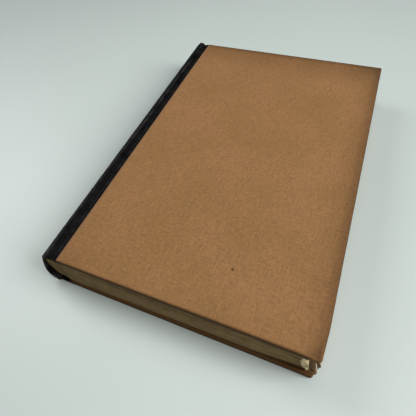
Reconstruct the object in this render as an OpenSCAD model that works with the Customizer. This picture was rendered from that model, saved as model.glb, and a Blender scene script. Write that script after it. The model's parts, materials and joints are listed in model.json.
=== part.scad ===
// A quarter-cloth hardback book, closed and lying on its back cover.
// X runs from the spine to the fore-edge, Y from the tail to the head, Z up from the table.
// The origin is at the middle of the book's footprint, on the table.

/* [Covers] */
// Height of a cover from tail to head, cloth included
cover_h = 216; // [180:1:280]
// Width of a cover from its spine edge to its fore-edge, cloth included
cover_w = 133.05; // [110:0.05:180]
// Thickness of a grey board
board_t = 2.4; // [1.8:0.1:3.2]
// Radius of a cover's corners in plan, cloth included
corner_r = 1.3; // [1:0.1:3]
// Radius along a cover's edges, cloth included
edge_r = 0.9; // [0.6:0.05:1.2]

/* [Cloth] */
// Thickness of the covering cloths
cloth_t = 0.35; // [0.25:0.05:0.45]
// Width of the cloth turned in over the boards
turn_in = 15; // [10:0.5:20]
// Black cloth left bare on a cover, from its spine edge to the side cloth
strip_w = 1.65; // [1.2:0.05:12]
// Width of black cloth that runs on under the side cloth
lap_w = 3; // [2:0.5:6]

/* [Leaves] */
// Thickness of the text block
block_t = 18; // [12:0.5:40]
// Height of the leaves
leaf_h = 210.5; // [170:0.5:211.5]
// How far a cover stands out past the leaves at the tail
tail_square = 2; // [1.5:0.1:3.5]
// How far a cover stands out past the leaves at the fore-edge
fore_square = 3.4; // [3.2:0.1:4.5]
// Depth of the hollow in the fore-edge
fore_hollow = 2; // [1:0.1:5]
// Number of folded gatherings that the leaves are sewn in
gatherings = 12; // [6:1:20]
// Width of the line that shows between two gatherings
gather_line = 0.14; // [0.1:0.01:0.3]
// Thickness of an endpaper
paper_t = 0.2; // [0.15:0.01:0.25]
// Cloth left bare around a pastedown
paste_margin = 3; // [2:0.5:5]

/* [Spine] */
// How far the crown of the spine stands out past its shoulders
spine_round = 8.3; // [6:0.1:10]
// How far the crown has rolled down from the middle of the thickness
spine_roll = 1; // [0:0.1:1.2]
// Width of the joint, from the shoulder of the spine to the cover
joint_w = 4.65; // [4.2:0.05:8]
// Depth of the joint below the face of the cover
joint_depth = 0.9; // [0.8:0.05:1.1]
// Depth of the spine's shoulder below the face of the cover
shoulder_depth = 0.4; // [0.3:0.05:0.5]
// Height of the shoulder that the leaves are hammered into
backing_h = 1.5; // [0.8:0.1:1.6]
// Thickness of the card in the spine
card_t = 0.8; // [0.5:0.1:1]
// How far the card stays below the face of the covers
card_clear = 2; // [1.6:0.1:3]
// Room between the card and the lined back
hollow_t = 0.3; // [0.2:0.05:0.5]
// Thickness of the paper that lines the back
lining_t = 0.3; // [0.2:0.05:0.4]
// How far the spine cloth stands out past the covers at each end
cap_over = 0.6; // [0:0.1:1]

/* [Mull] */
// Thickness of the mull where it is glued to the back
mull_t = 0.3; // [0.2:0.05:0.4]
// Width of a wing of the mull on its board
wing_w = 25; // [18:1:30]
// How far the mull stops short of the ends of the covers
mull_short = 18; // [16:1:30]
// Thickness of the glue between the mull and the leaves
glue_t = 0.03; // [0.02:0.01:0.1]

/* [Joints] */
// Room between a cover and the leaves, and between the cloths at a joint
swing_gap = 0.3; // [0.3:0.05:0.5]

/* [Wear] */
// Leg of the chip at the tail corner of the leaves, at its top
chip_leg = 4.4; // [3:0.1:6]
// Degrees that the torn face of the chip leans back
chip_lean = 9; // [0:1:9]
// Height of the top of the chip above the lowest leaf
chip_h = 12; // [6:0.5:12]
// Length of the loose strip of cloth that hangs at the corner of the front cover
flap_l = 14; // [8:0.5:14]
// Radius that the loose strip curls to
flap_r = 1.45; // [1.2:0.05:1.5]
// Degrees that the loose strip leans towards the fore-edge
flap_lean = 7; // [0:1:7]
// Length of the torn tab beside it
tab_l = 7; // [3:0.5:9]
// Width of the torn tab where it hangs from the corner
tab_w = 1.3; // [0.8:0.1:1.5]

/* [Hidden] */
$fn = 96;

// Colours
tan_cloth = "#8F6C4A";
black_cloth = "#17181A";
grey_board = "#9A8F7C";
leaf_paper = "#CDBD97";
end_paper = "#D9CDB0";
open_cloth = "#D8D2C0";
lining_paper = "#A58D6B";

web_share = 0.53;
peak_share = 0.44;
foot_share = 0.82;

// Depths below the face of a cover
board_depth = cloth_t + board_t;
inner_depth = board_depth + cloth_t;
cover_t = inner_depth + paper_t;
joint_under = joint_depth + cloth_t;

// Heights above the table
leaves_z = cover_t + swing_gap + paper_t;
book_t = block_t + 2 * leaves_z;
crown_z = book_t / 2 - spine_roll;

// Places across the book
book_w = spine_round + joint_w + cover_w;
crown_x = -book_w / 2;
shoulder_x = crown_x + spine_round;
edge_x = shoulder_x + joint_w;
fore_x = edge_x + cover_w;
board_x = edge_x + cloth_t;
side_x = edge_x + strip_w;
leaves_fore = fore_x - fore_square;
joint_end = edge_x - swing_gap;

// Places within the joint, as shares of its width: where the mull turns out, and the peak and the
// foot of the hammered shoulder
web_x = shoulder_x + joint_w * web_share;
peak_x = shoulder_x + joint_w * peak_share;
foot_x = shoulder_x + joint_w * foot_share;

// Places along the book
tail_y = -cover_h / 2;
head_y = cover_h / 2;
leaf_tail = tail_y + tail_square;

// Layers of the spine, from the cloth inwards
card_in = cloth_t + card_t;
turned_in = card_in + cloth_t;
lining_in = turned_in + hollow_t;
mull_in = lining_in + lining_t;
leaves_in = mull_in + mull_t + glue_t;

// The round is two arcs that meet upright at the crown and end at the shoulders
function arc_r(rise) = (rise * rise + spine_round * spine_round) / (2 * spine_round);
upper_r = arc_r(book_t - shoulder_depth - crown_z);
lower_r = arc_r(crown_z - shoulder_depth);
upper_x = crown_x + upper_r;
lower_x = crown_x + lower_r;
// Height of each arc at a place across the book, for a layer that lies inside the cloth
function upper_z(inset, x) = crown_z + sqrt(pow(upper_r - inset, 2) - pow(upper_x - x, 2));
function lower_z(inset, x) = crown_z - sqrt(pow(lower_r - inset, 2) - pow(lower_x - x, 2));

// More than any cut needs to pass through
past = 1;

// Draws a section in X and Z, and carries it along Y
module along_y(y0, y1) {
    translate([0, y1, 0]) rotate([90, 0, 0]) linear_extrude(height = y1 - y0) children();
}

// Draws a section in Y and Z, and carries it along X
module along_x(x0, x1) {
    translate([x0, 0, 0]) rotate([90, 0, 90]) linear_extrude(height = x1 - x0) children();
}

module box(x0, x1, y0, y1, z0, z1) {
    translate([x0, y0, z0]) cube([x1 - x0, y1 - y0, z1 - z0]);
}

// A rectangle with round corners between two corners
module rounded(x0, x1, y0, y1, r) {
    translate([x0 + r, y0]) square([x1 - x0 - 2 * r, y1 - y0]);
    translate([x0, y0 + r]) square([x1 - x0, y1 - y0 - 2 * r]);
    for (x = [x0 + r, x1 - r], y = [y0 + r, y1 - r]) translate([x, y]) circle(r);
}

// A flat plate with round corners and round edges, as cloth lies over a board
module plate(x0, x1, y0, y1, z0, z1, corner, edge) {
    intersection() {
        translate([0, 0, z0]) linear_extrude(height = z1 - z0) rounded(x0, x1, y0, y1, corner);
        along_y(y0, y1) rounded(x0, x1, z0, z1, edge);
        along_x(x0, x1) rounded(y0, y1, z0, z1, edge);
    }
}

// What lies inside a layer of the spine, as far across as the joint
module round_section(inset) {
    intersection() {
        translate([upper_x, crown_z]) circle(upper_r - inset);
        translate([crown_x, crown_z]) square([spine_round + joint_w, book_t]);
    }
    intersection() {
        translate([lower_x, crown_z]) circle(lower_r - inset);
        translate([crown_x, crown_z - book_t]) square([spine_round + joint_w, book_t]);
    }
}

// A layer of the spine between two depths, cut off at a height from the faces and at a place in X
module round_layer(outer, inner, clear_z, x_end) {
    intersection() {
        difference() {
            round_section(outer);
            round_section(inner);
        }
        translate([crown_x - past, clear_z]) square([x_end - crown_x + past, book_t - 2 * clear_z]);
    }
}

// A cover is drawn as the back one lies, with its face on the table. The front one is its mirror
module on_front() {
    translate([0, 0, book_t]) mirror([0, 0, 1]) children();
}

// The block as its section, with the hammered shoulders beside the joints
module block_section() {
    difference() {
        intersection() {
            union() {
                round_section(leaves_in);
                translate([foot_x, leaves_z]) square([leaves_fore - foot_x, block_t]);
            }
            union() {
                translate([crown_x, leaves_z]) square([leaves_fore - crown_x, block_t]);
                backing();
                on_front_section() backing();
            }
        }
        fore_circle(0);
        for (i = [1 : gatherings - 1])
            intersection() {
                fore_circle(2 * gather_line);
                gather_strip(i);
            }
    }
}

// The same flip as on_front, for a section
module on_front_section() {
    translate([0, book_t]) mirror([0, 1]) children();
}

// The shoulder under the lower joint
module backing() {
    polygon([[foot_x, leaves_z], [peak_x, leaves_z - backing_h],
             [crown_x, leaves_z - backing_h], [crown_x, leaves_z]]);
}

// The hollow of the fore-edge, deeper by grow
module fore_circle(grow) {
    r = (pow(block_t / 2, 2) + pow(fore_hollow, 2)) / (2 * fore_hollow);
    translate([leaves_fore - fore_hollow + r, book_t / 2]) circle(r + grow);
}

// The line between two gatherings, right across the block
module gather_strip(i) {
    translate([crown_x, leaves_z + i * block_t / gatherings - gather_line / 2])
        square([leaves_fore - crown_x + past, gather_line]);
}

module text_block() {
    color(leaf_paper) difference() {
        along_y(leaf_tail, leaf_tail + leaf_h) block_section();
        for (i = [1 : gatherings - 1], y = [leaf_tail, leaf_tail + leaf_h])
            along_y(y - 2 * gather_line, y + 2 * gather_line) gather_strip(i);
        chip_cut();
    }
}

// The torn corner of the leaves, which is deepest at its top
module chip_cut() {
    depth = chip_leg / sqrt(2);
    translate([leaves_fore, leaf_tail, leaves_z + chip_h]) rotate([0, 0, 45])
        translate([0, depth, 0]) rotate([-chip_lean, 0, 0])
            translate([-chip_leg, -3 * depth, -2 * chip_h]) cube([2 * chip_leg, 3 * depth, 2 * chip_h]);
}

// A flyleaf lies on the leaves and climbs the hammered shoulder to the fold at the joint
module flyleaf() {
    color(end_paper) along_y(leaf_tail, leaf_tail + leaf_h) intersection() {
        polygon([[leaves_fore, leaves_z], [foot_x, leaves_z], [peak_x, leaves_z - backing_h],
                 [peak_x + paper_t, leaves_z - backing_h], [foot_x + paper_t, leaves_z - paper_t],
                 [leaves_fore, leaves_z - paper_t]]);
        union() {
            round_section(leaves_in);
            translate([foot_x, 0]) square([leaves_fore - foot_x, book_t]);
        }
    }
}

// The mull is glued to the back, turns out at each shoulder and lies under the cloth of the joint
module mull_flange() {
    translate([web_x, joint_under]) square([joint_end - web_x, mull_t]);
    translate([web_x, joint_under]) square([mull_t, lower_z(mull_in, web_x) + mull_t / 2 - joint_under]);
}

module mull() {
    color(open_cloth) along_y(tail_y + mull_short, head_y - mull_short) {
        round_layer(mull_in, leaves_in - glue_t, joint_under + mull_t, web_x + mull_t);
        mull_flange();
        translate([web_x, book_t - joint_under - mull_t]) square([joint_end - web_x, mull_t]);
        translate([web_x, upper_z(mull_in, web_x) - mull_t / 2])
            square([mull_t, book_t - joint_under - upper_z(mull_in, web_x) + mull_t / 2]);
    }
}

module spine_lining() {
    color(lining_paper) along_y(leaf_tail + past, leaf_tail + leaf_h - past)
        round_layer(lining_in, mull_in, leaves_z, shoulder_x);
}

// The card lies between the shoulders, and the cloth is turned in over its ends
module spine_card() {
    color(grey_board) along_y(tail_y - cap_over + cloth_t, head_y + cap_over - cloth_t)
        round_layer(cloth_t, card_in, card_clear, shoulder_x);
}

// The cloth of the lower joint, from the shoulder to just short of the cover
module joint_floor() {
    polygon([[shoulder_x, shoulder_depth], [shoulder_x + cloth_t, joint_depth], [joint_end, joint_depth],
             [joint_end, joint_under], [shoulder_x + cloth_t / 2, joint_under],
             [shoulder_x, lower_z(cloth_t, shoulder_x)]]);
}

// The cloth of the upper joint
module joint_roof() {
    polygon([[shoulder_x, book_t - shoulder_depth], [shoulder_x + cloth_t, book_t - joint_depth],
             [joint_end, book_t - joint_depth], [joint_end, book_t - joint_under],
             [shoulder_x + cloth_t / 2, book_t - joint_under], [shoulder_x, upper_z(cloth_t, shoulder_x)]]);
}

module spine_cloth() {
    low = tail_y - cap_over;
    high = head_y + cap_over;
    color(black_cloth) union() {
        along_y(low, high) round_layer(0, cloth_t, shoulder_depth, shoulder_x);
        along_y(tail_y, head_y) joint_floor();
        along_y(tail_y, head_y) joint_roof();
        along_y(low, low + cloth_t) round_layer(0, turned_in, card_clear, shoulder_x);
        along_y(high - cloth_t, high) round_layer(0, turned_in, card_clear, shoulder_x);
        along_y(low, low + turn_in) round_layer(card_in, turned_in, card_clear, shoulder_x);
        along_y(high - turn_in, high) round_layer(card_in, turned_in, card_clear, shoulder_x);
    }
}

// The grey board, pressed in by one thickness of cloth where the black cloth lies on it
module board() {
    color(grey_board) difference() {
        bare_board();
        box(edge_x, side_x + lap_w, tail_y, head_y, 0, 2 * cloth_t);
    }
}

module bare_board() {
    plate(board_x, fore_x - cloth_t, tail_y + cloth_t, head_y - cloth_t, cloth_t, board_depth,
          corner_r - cloth_t, edge_r - cloth_t);
}

// Room inside the turned-in cloth, from the board's inner side
module turn_in_window(z0) {
    box(edge_x - past, fore_x - turn_in, tail_y + turn_in, head_y - turn_in, z0, cover_t);
}

// The tan cloth over the face and three edges of a board
module side_cloth_skin() {
    difference() {
        intersection() {
            plate(edge_x, fore_x, tail_y, head_y, 0, inner_depth, corner_r, edge_r);
            box(side_x, fore_x, tail_y, head_y, 0, inner_depth);
        }
        bare_board();
        turn_in_window(board_depth - cloth_t);
    }
}

module back_side_cloth() {
    color(tan_cloth) side_cloth_skin();
}

// On the front cover the turned-in corner has come unglued at the tail and is torn in two
module front_side_cloth() {
    color(tan_cloth) on_front() union() {
        side_cloth_skin();
        difference() {
            loose_strip();
            bare_board();
        }
        torn_tab();
    }
}

// The strip is curled along its length and leans out as it hangs from the rounded edge of the cover
module loose_strip() {
    curl_depth = flap_r - cloth_t;
    translate([leaves_fore, tail_y + flap_r, board_depth - edge_r]) rotate([0, flap_lean, 0])
        linear_extrude(height = edge_r + cloth_t + flap_l) difference() {
            circle(flap_r);
            circle(flap_r - cloth_t);
            translate([-2 * flap_r, -flap_r + curl_depth]) square([4 * flap_r, 2 * flap_r]);
        }
}

// The tab tapers to a point
module torn_tab() {
    x1 = fore_x - cloth_t / 2;
    y0 = tail_y + corner_r / 2;
    along_y(y0, y0 + cloth_t)
        polygon([[x1 - tab_w, board_depth], [x1, board_depth], [x1, inner_depth + tab_l]]);
}

// The black cloth on a board: its bare strip, turned in at head and tail, and the lap
module joint_cloth() {
    color(black_cloth) union() {
        difference() {
            intersection() {
                plate(edge_x, fore_x, tail_y, head_y, cloth_t, inner_depth, corner_r, edge_r);
                box(edge_x, side_x, tail_y, head_y, 0, inner_depth);
            }
            board();
            turn_in_window(board_depth - cloth_t);
            box(edge_x - past, board_x, tail_y + turn_in, head_y - turn_in, joint_under, cover_t);
        }
        box(board_x + edge_r, side_x + lap_w, tail_y + cloth_t + corner_r, head_y - cloth_t - corner_r,
            cloth_t, 2 * cloth_t);
    }
}

module mull_wing() {
    color(open_cloth)
        box(board_x, board_x + wing_w, tail_y + mull_short, head_y - mull_short, board_depth, inner_depth);
}

// A pastedown lies over the turned-in cloth and the mull, and sinks onto the bare board between them
module pastedown() {
    x0 = board_x + wing_w;
    x1 = fore_x - turn_in;
    y0 = tail_y + turn_in;
    y1 = head_y - turn_in;
    color(end_paper) difference() {
        union() {
            box(board_x, fore_x - paste_margin, tail_y + paste_margin, head_y - paste_margin,
                inner_depth, cover_t);
            box(x0, x1, y0, y1, board_depth, cover_t);
        }
        box(x0 + paper_t, x1 - paper_t, y0 + paper_t, y1 - paper_t, board_depth + paper_t, cover_t + past);
    }
}

text_block();
on_front() flyleaf();  // front_flyleaf
flyleaf();  // back_flyleaf
mull();
spine_lining();
spine_card();
spine_cloth();
on_front() board();  // front_board
front_side_cloth();
on_front() joint_cloth();  // front_joint_cloth
on_front() mull_wing();  // front_mull_wing
on_front() pastedown();  // front_pastedown
board();  // back_board
back_side_cloth();
joint_cloth();  // back_joint_cloth
mull_wing();  // back_mull_wing
pastedown();  // back_pastedown
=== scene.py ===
import json
import math
import random

import bpy
from mathutils import Matrix, Vector, noise


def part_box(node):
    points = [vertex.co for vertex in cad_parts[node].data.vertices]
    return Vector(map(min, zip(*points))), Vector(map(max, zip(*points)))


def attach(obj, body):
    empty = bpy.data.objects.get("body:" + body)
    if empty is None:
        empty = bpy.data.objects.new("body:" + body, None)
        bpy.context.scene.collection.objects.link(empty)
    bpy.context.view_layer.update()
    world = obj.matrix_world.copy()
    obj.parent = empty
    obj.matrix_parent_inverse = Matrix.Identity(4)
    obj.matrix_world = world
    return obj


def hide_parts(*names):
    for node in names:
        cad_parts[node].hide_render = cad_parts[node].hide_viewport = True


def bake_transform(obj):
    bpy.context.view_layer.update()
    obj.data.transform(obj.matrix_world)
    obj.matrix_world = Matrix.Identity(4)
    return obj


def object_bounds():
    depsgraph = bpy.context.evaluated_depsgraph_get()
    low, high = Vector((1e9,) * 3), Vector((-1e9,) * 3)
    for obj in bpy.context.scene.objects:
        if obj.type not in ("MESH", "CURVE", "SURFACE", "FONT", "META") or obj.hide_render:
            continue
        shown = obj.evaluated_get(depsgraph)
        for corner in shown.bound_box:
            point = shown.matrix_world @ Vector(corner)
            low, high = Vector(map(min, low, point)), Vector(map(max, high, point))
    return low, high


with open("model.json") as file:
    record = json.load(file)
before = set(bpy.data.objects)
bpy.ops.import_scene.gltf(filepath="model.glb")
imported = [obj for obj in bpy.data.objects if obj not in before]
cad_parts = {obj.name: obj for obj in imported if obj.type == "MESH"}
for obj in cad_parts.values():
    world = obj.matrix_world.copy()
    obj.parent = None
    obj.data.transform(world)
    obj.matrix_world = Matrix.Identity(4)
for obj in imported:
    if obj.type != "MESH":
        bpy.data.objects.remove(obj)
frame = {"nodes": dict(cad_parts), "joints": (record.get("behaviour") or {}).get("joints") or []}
CAD_BOX = [list(corner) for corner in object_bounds()]
MM = 0.001

# Sizes that the frame gives
SPINE_LOW, SPINE_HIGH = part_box("spine_cloth")
SIDE_LOW, SIDE_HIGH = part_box("back_side_cloth")
STRIP_LOW, STRIP_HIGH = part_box("back_joint_cloth")
BOARD_LOW, BOARD_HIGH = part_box("back_board")
PASTE_LOW, PASTE_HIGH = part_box("back_pastedown")
FLYLEAF_LOW, FLYLEAF_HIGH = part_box("back_flyleaf")
BLOCK_LOW, BLOCK_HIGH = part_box("text_block")
MULL_LOW, MULL_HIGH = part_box("mull")
WING_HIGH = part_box("back_mull_wing")[1]
BOOK_TOP = CAD_BOX[1][2]
CROWN_X = SPINE_LOW.x
EDGE_X = STRIP_LOW.x
SIDE_X = SIDE_LOW.x
FORE_X = SIDE_HIGH.x
HEAD_Y = SIDE_HIGH.y
LAP_X = STRIP_HIGH.x
COVER_T = SIDE_HIGH.z
CLOTH_T = COVER_T - BOARD_HIGH.z
PAPER_T = PASTE_HIGH.z - COVER_T
LEAVES_Z = FLYLEAF_HIGH.z
LEAF_TAIL, LEAF_HEAD, LEAF_FORE = BLOCK_LOW.y, BLOCK_HIGH.y, BLOCK_HIGH.x
HINGE = Vector(frame["joints"][1]["pos_m"])
CROWN_Z = next(v.co.z for v in frame["nodes"]["spine_cloth"].data.vertices
               if v.co.x < CROWN_X + 0.001 * MM)

# Sizes of the binding that the frame's boxes don't hold
EDGE_R = 0.9 * MM
CORNER_R = 1.3 * MM
TURN_IN = 15 * MM
CARD_T = 0.8 * MM
CAP_OVER = SPINE_HIGH.y - HEAD_Y
CAP_HIGH = 1.9 * MM
FORE_HOLLOW = 2 * MM
GATHERINGS = 12

# Depths of the spine's layers below the face of its cloth
CARD_IN = 1.5 * MM
MULL_IN = 2.25 * MM
LEAVES_IN = 2.43 * MM

# The joint, and the leaves that are hammered over beside it
SHOULDER_DEPTH = 0.4 * MM
SHOULDER_RISE = LEAVES_Z - BLOCK_LOW.z
RIDGE_W = 0.6 * MM
SHOULDER_X = HINGE.x - RIDGE_W
JOINT_DEPTH = HINGE.z
FOOT_X = SHOULDER_X + 0.82 * (EDGE_X - SHOULDER_X)
PEAK_X = FLYLEAF_LOW.x
FOLD_FACE = 0.8 * MM
MULL_TURN_X = MULL_HIGH.x - 1.8 * MM

# The damaged corner of the front cover, and the dark spot on its cloth
BRUISE_R = 15 * MM
CHIP_TOP = 15.8 * MM
CHIP_LEG = 3.9 * MM
LOOSE_R = 1.45 * MM
LOOSE_LEAN = math.radians(11)
TAB_LENGTH = 7 * MM
SPOT_PLACE = (26.3 * MM, -81.3 * MM, 0)
SPOT_CORE = 0.3 * MM
SPOT_R = 0.95 * MM

# How thick each sheet is drawn: thinner than it is, so that it stays clear of what it lies on
CLOTH_DRAWN = CLOTH_T * 0.98
LOOSE_CLOTH_DRAWN = CLOTH_T * 0.8
PAPER_DRAWN = PAPER_T * 0.6
MULL_DRAWN = 0.16 * MM

# About how far a sheet's face ripples, and how far its cut edge wavers
RIPPLE = 0.05 * MM
CUT_WAVER = 0.05 * MM

# How many steps each piece is drawn in
ROUND_STEPS = 44
CARD_STEPS = 24
MULL_STEPS = 16
TURN_STEPS = 8
CLOTH_STEPS = 86
PACKETS = 104
TAIL_STEPS = 38
CHIP_STEPS = 9
FORE_STEPS = 61

# The camera, fitted to the book's straight edges in a 416 x 416 frame
FRAME_PX = 416
FOCAL_PX = 367.2
CENTRE_PX = (183.07, 209.09)
CAMERA_PLACE = Vector((50.48, -162.24, 181.25)) * MM
CAMERA_AIM = Vector((-20.21, -38.69, 0)) * MM
CAMERA_ROLL = -8.03


def smooth(t):
    """Eases from 0 to 1 as t goes from 0 to 1."""
    t = min(max(t, 0.0), 1.0)
    return t * t * (3 - 2 * t)


def uneven(x, y, size, seed):
    """Smooth noise from -1 to 1 whose bumps are about size across."""
    return noise.noise(Vector((x / size, y / size, seed)))


def steps(start, end, longest):
    """Evenly spaced values from start to end, no further apart than longest."""
    count = max(1, math.ceil(abs(end - start) / longest - 1e-6))
    return [start + (end - start) * i / count for i in range(count + 1)]


class Surface:
    """Points and faces of one piece. Points in the same place are joined."""

    def __init__(self):
        self.points = []
        self.notes = {}
        self.faces = []
        self.known = {}

    def point(self, place, **notes):
        """The number of the point there, which is made if it is new, with its notes for the material."""
        key = tuple(round(c / MM, 4) for c in place)
        if key not in self.known:
            self.known[key] = len(self.points)
            self.points.append(Vector(place))
            for name, value in notes.items():
                self.notes.setdefault(name, []).append(value)
        return self.known[key]

    def face(self, corners):
        """Adds a face, and leaves out corners that have come together."""
        corners = [c for i, c in enumerate(corners) if c != corners[i - 1]]
        if len(set(corners)) > 2:
            self.faces.append(corners)

    def grid(self, rows):
        """Faces between rows of point numbers."""
        for low, high in zip(rows, rows[1:]):
            for i in range(len(low) - 1):
                self.face([low[i], low[i + 1], high[i + 1], high[i]])

    def piece(self, name, material, thickness=0, front=False):
        """The finished object. The front cover's pieces are turned over from the back cover's place."""
        if front:
            points = [(p.x, p.y, BOOK_TOP - p.z) for p in self.points]
            faces = [list(reversed(f)) for f in self.faces]
        else:
            points, faces = [tuple(p) for p in self.points], self.faces
        mesh = bpy.data.meshes.new(name)
        mesh.from_pydata(points, [], faces)
        for note, values in self.notes.items():
            vector = isinstance(values[0], tuple)
            layer = mesh.attributes.new(note, "FLOAT_VECTOR" if vector else "FLOAT", "POINT")
            flat = [c for v in values for c in v] if vector else values
            layer.data.foreach_set("vector" if vector else "value", flat)
        mesh.polygons.foreach_set("use_smooth", [True] * len(mesh.polygons))
        mesh.materials.append(material)
        made = bpy.data.objects.new(name, mesh)
        bpy.context.scene.collection.objects.link(made)
        if thickness:
            solid = made.modifiers.new("thickness", "SOLIDIFY")
            solid.thickness = thickness
            solid.offset = -1
            settle(made)
        return made


def settle(made):
    """Turns a piece's modifiers into its mesh."""
    shaped = made.evaluated_get(bpy.context.evaluated_depsgraph_get())
    mesh = bpy.data.meshes.new_from_object(shaped, preserve_all_data_layers=True,
                                           depsgraph=bpy.context.evaluated_depsgraph_get())
    made.modifiers.clear()
    made.data = mesh


# Materials

def linear(colour):
    """An sRGB hex colour as the linear values that the shader takes."""
    values = [int(colour[i:i + 2], 16) / 255 for i in (1, 3, 5)]
    return [v / 12.92 if v <= 0.04045 else ((v + 0.055) / 1.055) ** 2.4 for v in values] + [1.0]


def add(tree, kind, settings=None, inputs=None):
    """Adds one node with its settings, and with a value or a link for each of its inputs."""
    made = tree.nodes.new(kind)
    for name, value in (settings or {}).items():
        setattr(made, name, value)
    for name, value in (inputs or {}).items():
        if isinstance(value, bpy.types.NodeSocket):
            tree.links.new(value, made.inputs[name])
        else:
            made.inputs[name].default_value = value
    return made


def start_material(name, **shader):
    """A new material with its shader's own constant values."""
    material = bpy.data.materials.new(name)
    material.use_nodes = True
    tree = material.node_tree
    tree.nodes.clear()
    constants = {socket.replace("_", " "): value for socket, value in shader.items()}
    surface = add(tree, "ShaderNodeBsdfPrincipled", inputs=constants)
    add(tree, "ShaderNodeOutputMaterial", inputs={"Surface": surface.outputs[0]})
    return material, tree, surface


def tan_book_cloth():
    """Starch-filled cotton book cloth, plain woven and dyed tan. Threads of uneven tone run up and across,
    it is drawn darker towards the rims and most near the head and fore edges and their corner, and its
    rubbed edges are brown. Its edge faces are darkened by soil together with painted shade, and the inside
    of the loose roll at the torn corner is painted near black as the shade in it.
    The real threads are about 0.4 mm apart, too fine to show, so they are drawn 0.62 mm apart."""
    material, tree, surface = start_material("tan_book_cloth", Roughness=0.86, Specular_IOR_Level=0.25)
    thread = 0.62 * MM
    cut = add(tree, "ShaderNodeAttribute", {"attribute_name": "cut"}).outputs["Vector"]
    wear, rim, soil, fray, grime = [
        add(tree, "ShaderNodeAttribute", {"attribute_name": note}).outputs["Fac"]
        for note in ("wear", "rim", "soil", "fray", "grime")]

    slubs = []
    for scale in ((1 / thread, 1 / (7 * MM), 1), (1 / (5 * MM), 1 / thread, 1)):
        place = add(tree, "ShaderNodeMapping", inputs={"Vector": cut, "Scale": scale})
        slubs.append(add(tree, "ShaderNodeTexNoise", inputs={
            "Vector": place.outputs[0], "Scale": 1.0, "Detail": 2.0, "Roughness": 0.6}).outputs["Fac"])
    threads = add(tree, "ShaderNodeMath", {"operation": "ADD"}, {0: slubs[0], 1: slubs[1]})
    fleck = add(tree, "ShaderNodeTexNoise", inputs={
        "Vector": cut, "Scale": 1 / (1.5 * MM), "Detail": 2.0, "Roughness": 0.65}).outputs["Fac"]
    tone = add(tree, "ShaderNodeMath", {"operation": "ADD"}, {0: threads.outputs[0], 1: fleck})
    level = add(tree, "ShaderNodeMapRange", inputs={
        "Value": tone.outputs[0], "From Min": 1.0, "From Max": 2.0, "To Min": 0.70, "To Max": 1.30})
    stain = add(tree, "ShaderNodeTexNoise", inputs={
        "Vector": cut, "Scale": 1 / (34 * MM), "Detail": 3.0, "Roughness": 0.55}).outputs["Fac"]
    hue = add(tree, "ShaderNodeValToRGB", inputs={"Fac": stain})
    for stop, position, dye in zip(hue.color_ramp.elements, (0.36, 0.64), ("#8D683F", "#956C45")):
        stop.position = position
        stop.color = linear(dye)
    woven = add(tree, "ShaderNodeVectorMath", {"operation": "SCALE"},
                {0: hue.outputs["Color"], "Scale": level.outputs[0]})

    rim_darkening = add(tree, "ShaderNodeMath", {"operation": "MULTIPLY"}, {0: rim, 1: 0.55})
    raw = add(tree, "ShaderNodeMath", {"operation": "MULTIPLY"}, {0: fray, 1: 0.6})
    patchy = add(tree, "ShaderNodeMath", {"operation": "MULTIPLY_ADD"}, {0: fleck, 1: 1.6, 2: -0.9})
    rubbed = add(tree, "ShaderNodeMath", {"operation": "ADD", "use_clamp": True},
                 {0: wear, 1: patchy.outputs[0]})
    worn = add(tree, "ShaderNodeMath", {"operation": "MULTIPLY", "use_clamp": True},
               {0: rubbed.outputs[0], 1: wear})
    away = add(tree, "ShaderNodeVectorMath", {"operation": "DISTANCE"}, {0: cut, 1: SPOT_PLACE})
    spot = add(tree, "ShaderNodeMapRange", {"interpolation_type": "SMOOTHSTEP"}, {
        "Value": away.outputs["Value"], "From Min": SPOT_CORE, "From Max": SPOT_R,
        "To Min": 0.9, "To Max": 0.0})
    # What lies over the woven colour, from the bottom up: darker rims, soil together with painted shade,
    # paler cut threads, brown wear, a near-black mix for painted shade in the loose roll and for the darker
    # head and fore edges, and the stain
    shown = woven.outputs[0]
    for blend, share, tint in (
            ("MULTIPLY", rim_darkening.outputs[0], "#C2BCB0"),
            # Soil together with painted shade on the edge faces and turn-ins
            ("MULTIPLY", soil, "#ABA08C"),
            ("MIX", raw.outputs[0], "#B38A66"),
            ("MIX", worn.outputs[0], "#503A24"),
            # Near black: painted shade inside the loose roll, and the darker head and fore edges and their
            # corner
            ("MIX", grime, "#120805"),
            ("MIX", spot.outputs[0], "#3E2A10")):
        layer = add(tree, "ShaderNodeMix", {"data_type": "RGBA", "blend_type": blend}, {
            "Factor": share, 6: shown, 7: linear(tint)})
        shown = layer.outputs[2]
    tree.links.new(shown, surface.inputs["Base Color"])

    waves = []
    for axis in ("X", "Y"):
        along = add(tree, "ShaderNodeSeparateXYZ", inputs={0: cut}).outputs[axis]
        turns = add(tree, "ShaderNodeMath", {"operation": "MULTIPLY"}, {0: along, 1: math.pi / thread})
        waves.append(add(tree, "ShaderNodeMath", {"operation": "SINE"}, {0: turns.outputs[0]}).outputs[0])
    crossing = add(tree, "ShaderNodeMath", {"operation": "MULTIPLY"}, {0: waves[0], 1: waves[1]})
    height = add(tree, "ShaderNodeMath", {"operation": "MULTIPLY_ADD"},
                 {0: crossing.outputs[0], 1: 0.5, 2: threads.outputs[0]})
    bump = add(tree, "ShaderNodeBump", inputs={
        "Height": height.outputs[0], "Strength": 0.35, "Distance": 0.08 * MM})
    tree.links.new(bump.outputs[0], surface.inputs["Normal"])
    return material


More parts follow.
